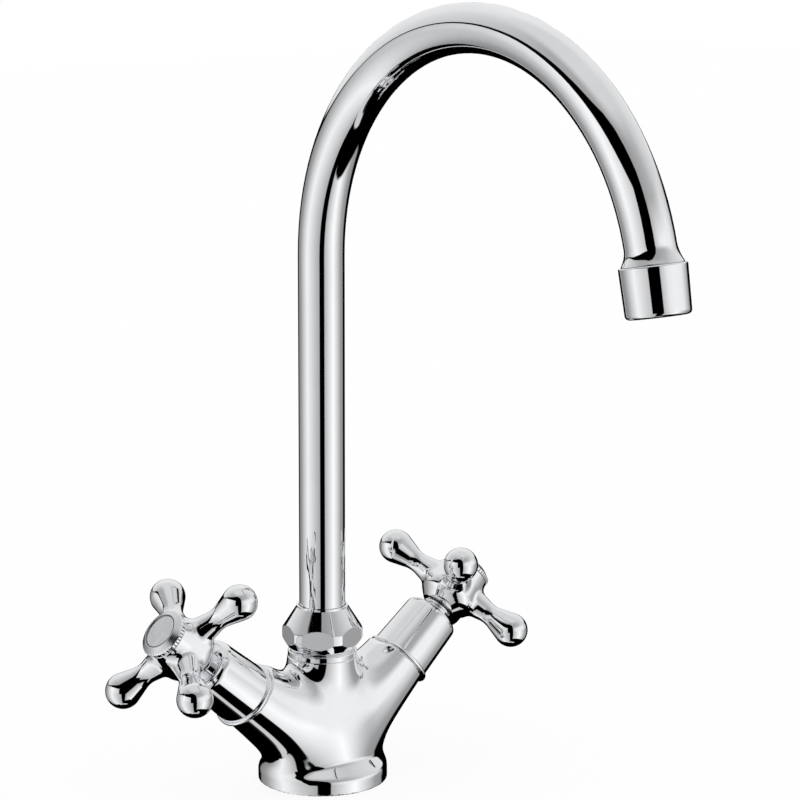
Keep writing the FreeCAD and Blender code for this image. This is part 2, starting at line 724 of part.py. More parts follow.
def make_aerator():
    """The screwed outlet housing with its washer, flow insert and wire screen."""
    thread = f"({ADAPTOR_THREAD} + 2 * thread_fit)"
    housing = new_body("aerator_housing")
    stand_on_outlet(housing)
    lip_top = f"({AERATOR_END} - aerator_lip_height)"
    turn_profile(housing, "shell", [
        (half(thread), FLARE_FOOT),
        (half(AERATOR), FLARE_FOOT, "aerator_top_round"),
        (half(AERATOR_FOOT), AERATOR_END, "aerator_foot_round"),
        (half(AERATOR_LIP), AERATOR_END),
        (half(AERATOR_LIP), lip_top),
        (half(thread), lip_top),
    ])

    inside = f"({thread} - 2 * running_fit)"
    washer = new_body("aerator_washer")
    stand_on_outlet(washer)
    ring(washer, "washer", WASHER_BORE, inside, THREAD_END, WASHER_END)

    insert = new_body("aerator_insert")
    stand_on_outlet(insert)
    plug(insert, "puck", inside, WASHER_END, MESH_FOOT)
    hole = extrude(insert, "hole",
                   lambda sketch: draw_circle(sketch, "flow_hole_diameter", half("flow_ring_diameter")),
                   f"{MESH_FOOT} + overrun", f"{MESH_FOOT} - {WASHER_END} + 2 * overrun", cuts=True)
    repeat(insert, "holes", hole, FLOW_HOLES)

    screen = new_body("aerator_screen")
    stand_on_outlet(screen)
    plug(screen, "disc", inside, MESH_FOOT, lip_top)
    depth = "mesh_thickness + 2 * overrun"
    extrude(screen, "middle_hole", lambda sketch: draw_circle(sketch, "mesh_hole_diameter"),
            f"{lip_top} + overrun", depth, cuts=True)
    for number in range(1, MESH_RINGS + 1):
        reach = f"{number} * mesh_ring_pitch"
        hole = extrude(screen, f"hole_{number}",
                       lambda sketch: draw_circle(sketch, "mesh_hole_diameter", reach),
                       f"{lip_top} + overrun", depth, cuts=True)
        repeat(screen, f"holes_{number}", hole, HEX_SIDES * number)


def make_headwork(name, side):
    """The fixed pieces of one valve: cover, locking sleeve, headwork, seals and the lower ceramic disc."""
    cover = new_body(f"{name}_valve_cover")
    stand_on_arm(cover, side)
    inner_foot = f"({COVER_FOOT} - 2 * cover_wall)"
    inner_top = f"({COVER_RIM} - 2 * cover_wall)"
    nose_hole = half(f"({NOSE} + 2 * thread_fit)")
    bead_top = "(arm_length + bead_height)"
    turn_profile(cover, "shell", [
        (half(inner_foot), "arm_length"),
        (half(BEAD), "arm_length", "bead_round"),
        (half(BEAD), bead_top, "bead_round"),
        (half(COVER_FOOT), bead_top),
        (half(COVER_RIM), COVER_TOP, "cover_shoulder_round"),
        (nose_hole, COVER_TOP),
        (nose_hole, ROOF_FOOT),
        (half(inner_top), ROOF_FOOT),
    ])

    sleeve = new_body(f"{name}_lock_sleeve")
    stand_on_arm(sleeve, side)
    rim_foot = f"({SLEEVE_TOP} - sleeve_rim_height)"
    turn_profile(sleeve, "sleeve", [
        (nose_hole, COVER_TOP),
        (half(SLEEVE), COVER_TOP),
        (half(SLEEVE), rim_foot),
        (half(SLEEVE_RIM), rim_foot, "sleeve_rim_round"),
        (half(SLEEVE_RIM), SLEEVE_TOP, "sleeve_rim_round"),
        (nose_hole, SLEEVE_TOP),
    ])

    headwork = new_body(f"{name}_headwork")
    stand_on_arm(headwork, side)
    cage_bore = half(CAGE_BORE)
    stem_bore = half("(spindle_diameter + 2 * running_fit)")
    chamber_top = f"({DRIVER_TOP} + turn_gap)"
    thread = half("(valve_bore_diameter - 2 * thread_fit)")
    neck_foot = "(arm_length - seal_recess_depth)"
    neck = half("(valve_bore_diameter - seal_recess_depth)")
    flange_top = "(arm_length + flange_height)"
    turn_profile(headwork, "barrel", [
        (cage_bore, SEAL_TOP),
        (half(CAGE), SEAL_TOP),
        (half(CAGE), CAGE_THREAD),
        (thread, CAGE_THREAD),
        (thread, neck_foot),
        (neck, neck_foot),
        (neck, "arm_length"),
        (half(f"({inner_foot} - 2 * turn_gap)"), "arm_length"),
        (half(f"({inner_foot} - 4 * turn_gap)"), flange_top),
        (half("gland_diameter"), flange_top),
        (half("gland_diameter"), ROOF_FOOT),
        (half(NOSE), ROOF_FOOT),
        (half(NOSE), SLEEVE_TOP),
        (stem_bore, SLEEVE_TOP),
        (stem_bore, chamber_top),
        (cage_bore, chamber_top),
    ])

    def draw_hexagon(sketch):
        draw_outline(sketch, hexagon(HEX_FLATS))
        draw_circle(sketch, "gland_diameter")

    extrude(headwork, "hexagon", draw_hexagon, flange_top, "hex_height")
    window = new_sketch(headwork, "window", "YZ_Plane")
    window_foot = f"({CAGE_THREAD} - window_height)"
    window_top = CAGE_THREAD
    edge = half("window_width")
    draw_outline(window, [
        (f"-{edge}", window_foot), (edge, window_foot), (edge, window_top), (f"-{edge}", window_top)])
    opening = headwork.newObject("PartDesign::Pocket", f"{name}_headwork_windows")
    opening.Profile = window
    opening.SideType = "Symmetric"
    opening.setExpression("Length", bound(f"{CAGE} + overrun"))
    settle(opening, cuts=True)

    ring_level = "(arm_length - seal_recess_depth / 2)"
    seal = o_rings(f"{name}_headwork_o_ring", "(valve_bore_diameter - seal_recess_depth + 2 * running_fit)",
                   f"({SEAL_RECESS} - 2 * running_fit)", [ring_level])
    stand_on_arm(seal, side)

    seat = new_body(f"{name}_seat_seal")
    stand_on_arm(seat, side)
    ring(seat, "seal", "seat_seal_bore_diameter", CAGE, "valve_seat_distance", SEAL_TOP)

    make_disc(name, side, "fixed_disc", SEAL_TOP, FIXED_TOP, "0")


def make_disc(name, side, kind, low, high, turn):
    """A ceramic disc with two round ports, turned about its axis."""
    disc = new_body(f"{name}_{kind}")
    stand_on_arm(disc, side)
    plug(disc, "disc", f"({CAGE_BORE} - 2 * running_fit)", low, high)

    def draw_port(sketch):
        across = f"disc_port_offset * cos({turn})"
        up = f"disc_port_offset * sin({turn})"
        draw_circle(sketch, "disc_port_diameter", across, up)

    port = extrude(disc, "port", draw_port, f"{high} + overrun", "disc_height + 2 * overrun", cuts=True)
    repeat(disc, "ports", port, DISC_PORTS)
    return disc


def tongue_corners(fit):
    """The rectangle of the spindle's driving tongue, grown by a fit."""
    reach = f"(tongue_length / 2 + {fit})"
    edge = f"(tongue_width / 2 + {fit})"
    return [(f"-{reach}", f"-{edge}"), (reach, f"-{edge}"), (reach, edge), (f"-{reach}", edge)]


def make_stem(name, side):
    """The turning pieces inside one valve: upper ceramic disc, spindle, its O-rings and its clip."""
    disc = make_disc(name, side, "moving_disc", FIXED_TOP, MOVING_TOP, "90")
    extrude(disc, "slot", lambda sketch: draw_outline(sketch, tongue_corners("running_fit")),
            MOVING_TOP, "tongue_height + running_fit", cuts=True)

    spindle = new_body(f"{name}_spindle")
    stand_on_arm(spindle, side)
    thread = "(screw_diameter + 2 * thread_fit)"
    hole_foot = f"({SCREW_SEAT} - screw_length - overrun)"
    clip_seat = half("(spindle_diameter - 2 * clip_groove_depth)")
    turn_profile(spindle, "stem", [
        ("0", MOVING_TOP),
        (half("driver_diameter"), MOVING_TOP),
        (half("driver_diameter"), DRIVER_TOP),
        (half("spindle_diameter"), DRIVER_TOP),
        (half("spindle_diameter"), CLIP_FOOT),
        (clip_seat, CLIP_FOOT),
        (clip_seat, CLIP_TOP),
        (half("spindle_diameter"), CLIP_TOP),
        (half("spindle_diameter"), SPINDLE_TOP),
        (half(thread), SPINDLE_TOP),
        (half(thread), hole_foot),
        ("0", hole_foot),
    ])
    extrude(spindle, "tongue", lambda sketch: draw_outline(sketch, tongue_corners("0")),
            f"{MOVING_TOP} - tongue_height", "tongue_height")
    levels = ["(arm_length + spindle_ring_lift)", "(arm_length + spindle_ring_lift + spindle_ring_pitch)"]
    groove_diameter = "(spindle_diameter - 2 * spindle_groove_depth)"
    for number, level in enumerate(levels, 1):
        ring(spindle, f"groove_{number}", groove_diameter, "(spindle_diameter + overrun)",
             f"{level} - spindle_groove_width / 2", f"{level} + spindle_groove_width / 2", cuts=True)
    tooth_reach = "(spindle_diameter / 2 - spline_depth)"
    tooth_edge = "(spindle_diameter / 2 + spline_depth)"
    tooth = extrude(spindle, "tooth_gap", lambda sketch: draw_outline(sketch, [
        (tooth_reach, "0"), (tooth_edge, "spline_depth"), (tooth_edge, "-spline_depth")]),
        f"{SPINDLE_TOP} + overrun", f"{SPINDLE_TOP} - {HUB_FOOT} - hub_recess_depth + overrun", cuts=True)
    repeat(spindle, "tooth_gaps", tooth, SPLINE_TEETH)

    ring_bore = f"({groove_diameter} + 2 * running_fit)"
    rings = o_rings(f"{name}_spindle_o_rings", ring_bore, "spindle_diameter", levels)
    stand_on_arm(rings, side)

    clip = new_body(f"{name}_spindle_clip")
    stand_on_arm(clip, side)
    clip_bore = "(spindle_diameter - 2 * clip_groove_depth + 2 * running_fit)"
    ring(clip, "clip", clip_bore, "clip_diameter", CLIP_FOOT, CLIP_TOP)
    mouth = half("clip_mouth_width")
    extrude(clip, "mouth", lambda sketch: draw_outline(sketch, [
        ("0", f"-{mouth}"), ("clip_diameter", f"-{mouth}"), ("clip_diameter", mouth), ("0", mouth)]),
        f"{CLIP_TOP} + overrun", "clip_height + 2 * overrun", cuts=True)


def draw_limb(sketch):
    """Half the section of a handle limb: a root in the hub, a drawn-in neck and a ball at the end."""
    root = FreeCAD.Vector(value("limb_root_offset"), value(half("limb_root_diameter")), 0)
    foot = FreeCAD.Vector(root.x, 0, 0)
    neck = FreeCAD.Vector(value("limb_neck_offset"), value(half("limb_neck_diameter")), 0)
    centre = FreeCAD.Vector(value(half("ball_circle_diameter")), 0, 0)
    radius = value(half("ball_diameter"))
    towards = neck - centre
    spread = math.acos(radius / towards.Length)
    angle = math.atan2(towards.y, towards.x) - spread
    touch = centre + FreeCAD.Vector(math.cos(angle), math.sin(angle), 0) * radius
    tip = centre + FreeCAD.Vector(radius, 0, 0)
    bend, first, last, _ = corner_arc(root, neck, touch, value("limb_neck_round"))
    ball = Part.ArcOfCircle(Part.Circle(centre, FreeCAD.Vector(0, 0, 1), radius), 0, angle)
    root_line = Part.LineSegment(foot, root)
    inner_line = Part.LineSegment(root, first)
    outer_line = Part.LineSegment(last, touch)
    axis_line = Part.LineSegment(tip, foot)
    sketch.addGeometry([root_line, inner_line, bend, outer_line, ball, axis_line])
    mark = sketch.addGeometry(Part.Point(neck), True)
    join = Sketcher.Constraint
    sketch.addConstraint(join("Coincident", 0, 2, 1, 1))
    sketch.addConstraint(join("Tangent", 1, 2, 2, 1))
    sketch.addConstraint(join("Tangent", 3, 1, 2, 2))
    sketch.addConstraint(join("Tangent", 3, 2, 4, 2))
    sketch.addConstraint(join("Coincident", 4, 1, 5, 1))
    sketch.addConstraint(join("Coincident", 5, 2, 0, 1))
    sketch.addConstraint(join("PointOnObject", mark, 1, 1))
    sketch.addConstraint(join("PointOnObject", mark, 1, 3))
    sketch.addConstraint(join("PointOnObject", 4, 1, -1))
    pin(sketch, 0, 1, "limb_root_offset", "0")
    pin(sketch, 0, 2, "limb_root_offset", half("limb_root_diameter"))
    pin(sketch, mark, 1, "limb_neck_offset", half("limb_neck_diameter"))
    pin(sketch, 4, 3, half("ball_circle_diameter"), "0")
    constrain(sketch, half("ball_diameter"), "Radius", 4)
    constrain(sketch, "limb_neck_round", "Radius", 2)


def make_handle(name, side):
    """One cross handle with its screw and its index cap."""
    handle = new_body(f"{name}_handle")
    stand_on_arm(handle, side)
    socket = half("(spindle_diameter + 2 * running_fit)")
    screw_hole = half("(screw_diameter + 2 * turn_gap)")
    counterbore = half("hub_counterbore_diameter")
    web_foot = f"({SCREW_SEAT} - hub_web)"
    recess = half("hub_recess_diameter")
    recess_top = f"({HUB_FOOT} + hub_recess_depth)"
    turn_profile(handle, "hub", [
        (recess, HUB_FOOT),
        (half("hub_foot_diameter"), HUB_FOOT, "hub_edge_round"),
        (half("hub_bell_diameter"), f"{HUB_FOOT} + {BELL_SHARE} * hub_height", "hub_bell_round"),
        (half("hub_waist_diameter"), f"{HUB_FOOT} + {WAIST_SHARE} * hub_height", "hub_waist_round"),
        (half("hub_top_diameter"), HUB_TOP, "hub_edge_round"),
        (counterbore, HUB_TOP),
        (counterbore, SCREW_SEAT),
        (screw_hole, SCREW_SEAT),
        (screw_hole, web_foot),
        (socket, web_foot),
        (socket, recess_top),
        (recess, recess_top),
    ])
    turn = f"{name}_handle_angle"
    sketch = new_sketch(handle, "limb", "XZ_Plane", ("0", CROSS_LEVEL, "0"), (0, 1, 0), turn)
    draw_limb(sketch)
    limb = handle.newObject("PartDesign::Revolution", f"{name}_handle_limb")
    limb.Profile = sketch
    limb.ReferenceAxis = (sketch, ["H_Axis"])
    limb.Angle = 360
    settle(limb)
    cross = repeat(handle, "limbs", limb, HANDLE_LIMBS)
    round_edges(handle, "blend", cross, list(joining_edges(cross.Shape)), "limb_blend_round")

    screw = new_body(f"{name}_handle_screw")
    stand_on_arm(screw, side)
    head_top = f"({SCREW_SEAT} + screw_head_height)"
    turn_profile(screw, "screw", [
        ("0", f"{SCREW_SEAT} - screw_length"),
        (half("screw_diameter"), f"{SCREW_SEAT} - screw_length"),
        (half("screw_diameter"), SCREW_SEAT),
        (half("screw_head_diameter"), SCREW_SEAT),
        (half("screw_head_diameter"), head_top),
        ("0", head_top),
    ])
    edge = half("screw_slot_width")
    extrude(screw, "slot", lambda sketch: draw_outline(sketch, [
        ("-screw_head_diameter", f"-{edge}"), ("screw_head_diameter", f"-{edge}"),
        ("screw_head_diameter", edge), ("-screw_head_diameter", edge)]),
        head_top, "screw_slot_depth", cuts=True)

    cap = new_body(f"{name}_index_cap")
    stand_on_arm(cap, side)
    stem = half("(hub_counterbore_diameter - 2 * running_fit)")
    rim_top = f"({HUB_TOP} + cap_rim_height)"
    plate = half("(cap_face_diameter - 2 * cap_face_border)")
    turn_profile(cap, "button", [
        ("0", f"{HUB_TOP} - cap_stem_height"),
        (stem, f"{HUB_TOP} - cap_stem_height"),
        (stem, HUB_TOP),
        (half("cap_rim_diameter"), HUB_TOP),
        (half("cap_rim_diameter"), rim_top),
        (half("cap_face_diameter"), CAP_TOP),
        (plate, CAP_TOP),
        (plate, f"{CAP_TOP} - cap_face_recess"),
        ("0", f"{CAP_TOP} - cap_face_recess"),
    ])
    tooth_root = "(cap_rim_diameter / 2 - cap_tooth_depth)"
    tooth_edge = "(cap_rim_diameter / 2 + cap_tooth_depth)"
    gap = extrude(cap, "tooth_gap", lambda sketch: draw_outline(sketch, [
        (tooth_root, "0"), (tooth_edge, "cap_tooth_width"), (tooth_edge, "-cap_tooth_width")]),
        f"{rim_top} + overrun", "cap_rim_height + overrun", cuts=True)
    repeat(cap, "tooth_gaps", gap, CAP_TEETH)


make_body()
make_foot_gasket()
make_collar_ring()
make_spout_nut()
make_slip_ring()
make_spout()
make_aerator()
for valve, arm_side in SIDES.items():
    make_headwork(valve, arm_side)
    make_stem(valve, arm_side)
    make_handle(valve, arm_side)
document.recompute()

for item in document.Objects:
    if "Invalid" in item.State or "Error" in item.State:
        raise RuntimeError(f"{item.Name} is {item.State}")
for piece in pieces:
    if piece.Shape.isNull() or not piece.Shape.isValid():
        raise RuntimeError(f"{piece.Label} has no valid shape")
os.makedirs("parts", exist_ok=True)
for piece in pieces:
    piece.Shape.exportStep(f"parts/{piece.Label}.step")
    print(piece.Label, len(piece.Shape.Solids), round(piece.Shape.Volume, 1))
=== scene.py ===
import json
import math

import bpy
import numpy as np
from mathutils import Matrix, Vector


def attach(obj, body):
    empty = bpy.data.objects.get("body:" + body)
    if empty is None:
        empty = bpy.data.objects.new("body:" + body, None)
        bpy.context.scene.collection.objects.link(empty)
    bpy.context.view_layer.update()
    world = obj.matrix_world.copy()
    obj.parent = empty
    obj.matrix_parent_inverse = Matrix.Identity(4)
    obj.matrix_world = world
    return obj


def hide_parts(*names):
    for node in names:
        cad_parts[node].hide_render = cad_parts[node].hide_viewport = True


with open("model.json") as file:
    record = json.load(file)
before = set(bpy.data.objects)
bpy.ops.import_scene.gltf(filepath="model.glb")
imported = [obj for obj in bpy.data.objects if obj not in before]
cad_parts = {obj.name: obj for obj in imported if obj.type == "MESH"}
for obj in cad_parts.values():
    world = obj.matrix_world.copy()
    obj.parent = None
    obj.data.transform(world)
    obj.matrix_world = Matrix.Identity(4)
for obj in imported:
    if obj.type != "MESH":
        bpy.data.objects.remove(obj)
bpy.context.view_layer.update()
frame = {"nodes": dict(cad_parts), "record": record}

# A two-handled kitchen mixer tap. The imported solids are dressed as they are, apart from the body
# casting and the flared end of the tube, which are made here with flowing joins. The tap stands on
# a pale floor, inside a light tent that shows only in reflections.

scene = bpy.context.scene
scene.view_settings.view_transform = "Standard"

MM = 0.001
WHITE = (1.0, 1.0, 1.0, 1.0)

# Camera: metres and degrees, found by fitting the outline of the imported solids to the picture
CAMERA_PLACE = (-0.6582, -0.8431, 0.3668)
CAMERA_YAW = -39.60
CAMERA_PITCH = -11.36
CAMERA_ROLL = 0.15
CAMERA_LENS = 127.06
CAMERA_SENSOR = 36.0

# Body casting: millimetres and radians. The bores are those of its solid, and the foot's band and flare
# are set for the softer joins here.
FOOT_RADIUS = 25.5
FOOT_BAND = 5.5
FOOT_FLARE_HEIGHT = 5.0
FOOT_FLARE_INSET = 4.9
NECK_RADIUS = 13.7
NECK_TOP = 50.2
STUB_RADIUS = 11.0
STUB_TOP = 59.8
ARM_TILT = math.radians(40.0)
ARM_COS, ARM_SIN, ARM_TAN = math.cos(ARM_TILT), math.sin(ARM_TILT), math.tan(ARM_TILT)
ARM_Z = 8.6
ARM_LENGTH = 49.3
ARM_RADIUS = 12.9
ARM_TAPER = 0.081
SOCKET_RADIUS = 9.5
SOCKET_FLOOR = 30.0
BORE_RADIUS = 9.9
BORE_START = 27.0
RECESS_RADIUS = 10.7
RECESS_START = 47.7
PASSAGE_RADIUS = 4.0
PASSAGE_START = 12.0
INLET_PLACE = 9.19
INLET_RADIUS = 4.5
INLET_DEPTH = 12.0
DRILL_RADIUS = 3.5
DRILL_DEPTH = 16.3
CROSSWAY_HEIGHT = 34.5
CROSSWAY_RADIUS = 3.0
CROSSWAY_REACH = 18.0
STUD_PLACE = 11.5
STUD_RADIUS = 3.4
STUD_DEPTH = 14.0
GROOVE_RADIUS = 20.5
GROOVE_HALF_WIDTH = 1.5
GROOVE_DEPTH = 2.0
# Its flowing belly: how the arms bend together, how far they swell and over what the forms ease together
ARM_BEND = 6.0
BELLY_SPREAD = 15.0
BELLY_DROP = 6.0
BELLY_HALF_WIDTH = 20.0
BELLY_HALF_HEIGHT = 38.0
NECK_EASE = 9.0
WAIST_EASE = 1.6
ARM_FOOT_EASE = 11.0
ARM_FOOT_SPAN = (15.0, 24.0)
FOOT_EASE = 1.8
EDGE_EASE = 0.8
# Its mesh: the box and step of the grid, and how its points settle on the skin
CASTING_BOX = ((-48.0, -27.0, -1.8), (48.0, 27.0, 61.2))
CASTING_STEP = 0.6
SETTLE_ROUNDS = 4
SLOPE_STEP = 0.01
LEAST_SLOPE = 0.1
LEAST_SHARE = 0.001

# Flared end of the tube: millimetres and degrees. The bend's middle is a bend radius in front of the
# tube's upright part, at the bend's height.
BEND_RADIUS = 90.5
BEND_HEIGHT = 209.0
BEND_SWEEP = 169.0
TUBE_RADIUS = 9.0
SEAT_RADIUS = TUBE_RADIUS + 0.01
TRUMPET_FOOT = TUBE_RADIUS + 0.03
TRUMPET_LENGTH = 5.5
TRUMPET_RISE = 1.7
TRUMPET_CURVE = 1.8
TRUMPET_LIP = ((0.25, 0.1), (0.45, -0.1), (0.5, -0.4))  # past the bend's end, and out from the flare
THREAD_RADIUS = 10.2
THREAD_END = 7.5
OUTLET_RADIUS = 7.5
TRUMPET_SIDES = 96
TRUMPET_STEPS = 24
TRUMPET_CREASE = 40.0

# Milled caps: millimetres from the arm's axis, and along it for the rim's top
CAP_LINE = (6.55, 6.95)
CAP_LINE_EDGE = 0.1
CAP_FACE = 9.2
CAP_FACE_EDGE = 0.2
CAP_TOOTH_FOOT = 9.45
CAP_TOOTH_TIP = 9.75
CAP_TOOTH_EDGE = 0.1
CAP_RIM_TOP = 99.1
CAP_SATIN = (0.74, 0.75, 0.76)
CAP_SATIN_SHADE = (0.67, 0.68, 0.70)
CAP_POLISH = (0.90, 0.91, 0.92)
# Colour of the engraved line, and of the painted shade in the grooves between the teeth
CAP_LINE_AND_PAINTED_GROOVE_SHADE = (0.05, 0.05, 0.055)
CAP_FACE_ROUGHNESS = 0.2
CAP_RIM_ROUGHNESS = 0.05
CAP_ROUGHNESS_SPREAD = 0.05
CAP_PATCH_SCALE = 300.0
CAP_MARK_PACE = 40.0  # radians of turning marks in a millimetre
CAP_MARK_DEPTH = 0.001

# Metals: material's name, colour, shade, roughness, its spread, and depth of waviness in millimetres
METALS = {
    "chrome": ("chrome_plate", (0.90, 0.91, 0.92), (0.87, 0.88, 0.90), 0.025, 0.03, 0.01),
    "brass": ("machined_brass", (0.72, 0.53, 0.26), (0.64, 0.45, 0.20), 0.22, 0.15, 0.04),
    "stainless": ("stainless_wire", (0.62, 0.62, 0.62), (0.55, 0.55, 0.56), 0.25, 0.15, 0.04),
}
# Mouldings: colour, shade and roughness
MOULDINGS = {
    "rubber": ((0.025, 0.025, 0.027), (0.045, 0.045, 0.045), 0.55),
    "disc_ceramic": ((0.84, 0.83, 0.80), (0.78, 0.77, 0.74), 0.18),
    "acetal": ((0.82, 0.82, 0.80), (0.76, 0.76, 0.74), 0.42),
}
MOULDING_SMOOTHER = 0.06
MOULDING_ROUGHER = 0.1
GRAIN_DEPTH = 0.02
# Noise: cycles in a metre, and the part of its range that is used
PATCH_SCALE = 60.0
HAZE_SCALE = 900.0
WAVE_SCALE = 110.0
GRAIN_SCALE = 1500.0
DRIFT_SCALE = 90.0
TONE_SPAN = (0.35, 0.65)
GRAIN_SPAN = (0.3, 0.7)
HAZE_SPAN = (0.1, 0.5)

# Floor and sky: metres and levels of light
FLOOR_SIZE = 3.0
FLOOR_COLOUR = (0.97, 0.97, 0.97, 1.0)
FLOOR_GLOW = 0.88
SKY_LIGHT = 0.98

# Light tent: metres, degrees and levels of light. The tables go once round the tent, from behind by the
# left, the front and the right: degrees from the camera's side, then a level, a height or a softness.
TENT_RADIUS = 6.0
TENT_SEGMENTS = 48
TENT_RINGS = 24
TENT_LIGHT = 1.1
SIDE_LEVELS = (
    (-180, 0.0), (-146, 0.0), (-140, 0.22), (-117, 0.33), (-72, 0.90), (-25, 0.52), (-7.5, 0.40),
    (-7, 0.0), (16, 0.0), (16.5, 0.43), (61, 1.0), (108, 0.34), (128, 0.28), (134, 0.0), (180, 0.0))
MIDDLE_LEVELS = (
    (-180, 0.0), (-146, 0.0), (-140, 0.25), (-117, 0.40), (-90, 0.75), (-72, 0.95), (-25, 0.58),
    (-20.5, 0.48), (-20, 0.0), (16, 0.0), (16.5, 0.50), (40, 0.82), (61, 0.88), (95, 0.84), (115, 0.66),
    (128, 0.50), (134, 0.0), (180, 0.0))
TOP_LEVELS = (
    (-180, 0.80), (-140, 0.76), (-105, 0.60), (-75, 0.40), (-30, 0.36), (12, 0.32), (60, 0.44),
    (90, 0.60), (120, 0.70), (150, 0.76), (180, 0.80))
FOOT_LINE = (
    (-180, -25), (-150, -25), (-128, -38), (-110, -57), (-90, -67), (-30, -72), (-5, -66), (8, -54),
    (20, -45), (40, -43), (90, -44), (120, -40), (135, -27), (150, -15), (180, -9))
HEAD_LINE = (
    (-180, 0), (-150, 1), (-120, 8), (-105, 14), (-90, 20), (-60, 26), (-23, 27), (-22, -5), (12, -5),
    (12.5, 85), (180, 85))
ROOF_LINE = (
    (-180, 3), (-150, 5), (-120, 10), (-105, 18), (-90, 28), (-75, 35), (-60, 41), (-30, 52), (-12, 53),
    (0, 49), (12, 42), (16, 28), (90, 26), (130, 14), (180, 3))
ROOF_SOFTNESS = ((-180, 0.5), (10, 0.5), (24, 7.0), (110, 7.0), (150, 0.5), (180, 0.5))
SOFTEST = 10.0
FOOT_SOFTNESS = 1.0
HEAD_SOFTNESS = 0.5
MIDDLE_SPAN = (-4.0, 6.0)  # heights over which the sides' levels change to the middle's
CEILING_SPAN = (50.0, 72.0)
CEILING_LEVEL = 0.66
# A pale ring low in front: shares of the way down from level, and how far it goes round
RING_LEVELS = ((0.0, 0.0), (0.775, 0.0), (0.785, 0.6), (0.87, 0.6), (0.885, 0.02), (1.0, 0.02))
RING_FRONT = (0.10, 0.14)


def link(item):
    scene.collection.objects.link(item)
    return item


def make_camera():
    data = bpy.data.cameras.new("photo_camera")
    data.sensor_width = CAMERA_SENSOR
    data.lens = CAMERA_LENS
    camera = link(bpy.data.objects.new("photo_camera", data))
    yaw, pitch, roll = (math.radians(angle) for angle in (CAMERA_YAW, CAMERA_PITCH, CAMERA_ROLL))
    ahead = Vector((-math.sin(yaw) * math.cos(pitch), math.cos(yaw) * math.cos(pitch), math.sin(pitch)))
    level = Vector((math.cos(yaw), math.sin(yaw), 0))
    upright = level.cross(ahead)
    right = level * math.cos(roll) + upright * math.sin(roll)
    up = upright * math.cos(roll) - level * math.sin(roll)
    turn = Matrix((right, up, -ahead)).transposed().to_4x4()
    turn.translation = CAMERA_PLACE
    camera.matrix_world = turn
    scene.camera = camera


class Nodes:
    """Short ways to add and join shader nodes in one tree."""

    def __init__(self, tree):
        self.tree = tree
        tree.nodes.clear()

    def add(self, kind, **settings):
        node = self.tree.nodes.new(kind)
        for name, setting in settings.items():
            setattr(node, name, setting)
        return node

    def join(self, source, target):
        self.tree.links.new(source, target)

    def feed(self, target, source):
        """Sets a socket to a number or colour, or joins another socket to it."""
        if isinstance(source, bpy.types.NodeSocket):
            self.join(source, target)
        else:
            target.default_value = source

    def math(self, operation, *values):
        node = self.add("ShaderNodeMath", operation=operation)
        for socket, source in zip(node.inputs, values):
            self.feed(socket, source)
        return node.outputs[0]

    def span(self, source, low, high, new_low=0.0, new_high=1.0, smooth=False):
        """Maps low..high to new_low..new_high, held at both ends."""
        node = self.add("ShaderNodeMapRange", interpolation_type="SMOOTHSTEP" if smooth else "LINEAR")
        for socket, value in zip(node.inputs[:5], (source, low, high, new_low, new_high)):
            self.feed(socket, value)
        return node.outputs[0]

    def blend(self, share, first, second):
        node = self.add("ShaderNodeMix", data_type="FLOAT")
        self.feed(node.inputs[0], share)
        self.feed(node.inputs[2], first)
        self.feed(node.inputs[3], second)
        return node.outputs[0]

    def tint(self, share, first, second):
        node = self.add("ShaderNodeMix", data_type="RGBA")
        self.feed(node.inputs[0], share)
        self.feed(node.inputs[6], first)
        self.feed(node.inputs[7], second)
        return node.outputs[2]

    def ramp(self, source, stops):
        """A straight grey ramp through stops of (place, level)."""
        node = self.add("ShaderNodeValToRGB")
        node.color_ramp.interpolation = "LINEAR"
        elements = node.color_ramp.elements
        while len(elements) < len(stops):
            elements.new(1.0)
        # All places come before the levels, because a move can change the order of the elements
        for element, (place, level) in zip(elements, stops):
            element.position = place
        for element, (place, level) in zip(elements, stops):
            element.color = (level, level, level, 1.0)
        self.feed(node.inputs[0], source)
        return node.outputs[0]

    def noise(self, where, scale, detail):
        node = self.add("ShaderNodeTexNoise")
        self.feed(node.inputs["Vector"], where)
        node.inputs["Scale"].default_value = scale
        node.inputs["Detail"].default_value = detail
        return node.outputs["Fac"]

    def bump(self, height, depth):
        """A relief of a depth in millimetres."""
        node = self.add("ShaderNodeBump")
        node.inputs["Strength"].default_value = 1.0
        node.inputs["Distance"].default_value = depth * MM
        self.join(height, node.inputs["Height"])
        return node.outputs[0]


def opaque(colour):
    return colour + (1.0,)


def new_material(name):
    material = bpy.data.materials.new(name)
    material.use_nodes = True
    nodes = Nodes(material.node_tree)
    shader = nodes.add("ShaderNodeBsdfPrincipled")
    output = nodes.add("ShaderNodeOutputMaterial")
    nodes.join(shader.outputs[0], output.inputs[0])
    where = nodes.add("ShaderNodeTexCoord").outputs["Object"]
    return material, nodes, shader.inputs, where


def metal(name, colour, shade, roughness, spread, wave):
    """A polished metal: a faint drift of tone, hazy patches and a slight waviness from polishing."""
    material, nodes, shader, where = new_material(name)
    patches = nodes.noise(where, PATCH_SCALE, 3.0)
    haze = nodes.noise(where, HAZE_SCALE, 2.0)
    tone = nodes.tint(nodes.span(patches, *TONE_SPAN), opaque(colour), opaque(shade))
    nodes.feed(shader["Base Color"], tone)
    mixed = nodes.math("MULTIPLY", patches, haze)
    nodes.feed(shader["Roughness"], nodes.span(mixed, *HAZE_SPAN, roughness, roughness + spread))
    shader["Metallic"].default_value = 1.0
    nodes.feed(shader["Normal"], nodes.bump(nodes.noise(where, WAVE_SCALE, 1.0), wave))
    return material


